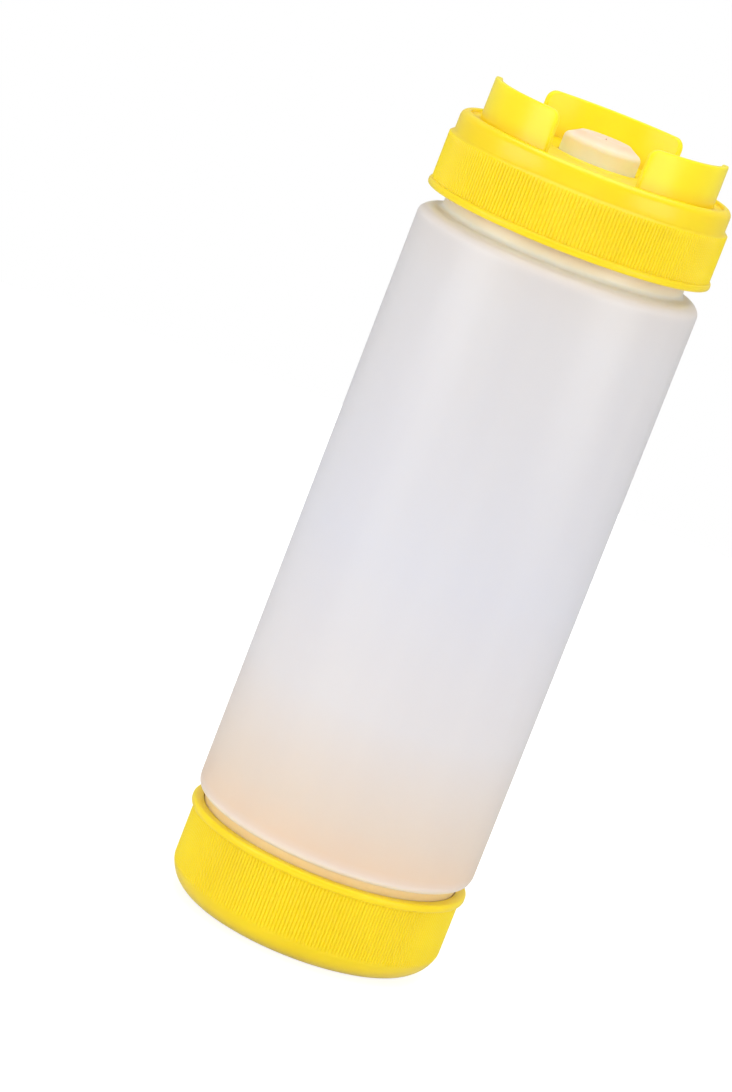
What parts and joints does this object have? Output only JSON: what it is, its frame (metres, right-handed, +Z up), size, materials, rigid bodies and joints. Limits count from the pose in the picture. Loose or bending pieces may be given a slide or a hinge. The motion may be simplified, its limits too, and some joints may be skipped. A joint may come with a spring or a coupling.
{
  "type": "dispensing sauce bottle",
  "caption": "Squeeze bottle open at both ends, with a screw cap that carries a no-drip valve inside a walled crown, and a ribbed screw cap for refilling that it stands on.",
  "frame": {"origin": "middle of the refill cap's foot ring, on the surface that the bottle stands on", "axes": "+Z up along the bottle's axis; the open gap of the crown, which faces the viewer in the picture, is on -Y"},
  "size_m": [0.0676, 0.0676, 0.2],
  "materials": {
    "clear_plastic": "translucent, low-density squeeze plastic with a soft satin surface",
    "yellow_plastic": "smooth moulded yellow, satin gloss",
    "silicone_rubber": "peach translucent silicone, matt",
    "natural_plastic": "natural, milky",
    "gasket_rubber": "soft, matt"
  },
  "bodies": {
    "bottle": {"bottle_body": "clear_plastic"},
    "dispensing_seal": {"dispensing_cap_gasket": "gasket_rubber"},
    "dispensing_cap": {"dispensing_cap": "yellow_plastic", "no_drip_valve": "silicone_rubber", "valve_retaining_ring": "natural_plastic"},
    "refill_seal": {"refill_cap_gasket": "gasket_rubber"},
    "refill_cap": {"refill_cap": "yellow_plastic"}
  },
  "joints": [
    {"name": "dispensing_cap_rise", "type": "slide", "parent": "bottle", "child": "dispensing_seal", "axis": [0, 0, 1], "range_m": [0, 0.01]},
    {"name": "dispensing_cap_turn", "type": "hinge", "parent": "dispensing_seal", "child": "dispensing_cap", "pos_m": [0, 0, 0.18], "axis": [0, 0, 1], "range_deg": [0, 720]},
    {"name": "refill_cap_drop", "type": "slide", "parent": "bottle", "child": "refill_seal", "axis": [0, 0, -1], "range_m": [0, 0.01]},
    {"name": "refill_cap_turn", "type": "hinge", "parent": "refill_seal", "child": "refill_cap", "pos_m": [0, 0, 0.01], "axis": [0, 0, -1], "range_deg": [0, 720]}
  ],
  "couplings": [
    {"joint": "dispensing_cap_rise", "follows": "dispensing_cap_turn", "m_per_rad": 0.00079577},
    {"joint": "refill_cap_drop", "follows": "refill_cap_turn", "m_per_rad": 0.00079577}
  ]
}
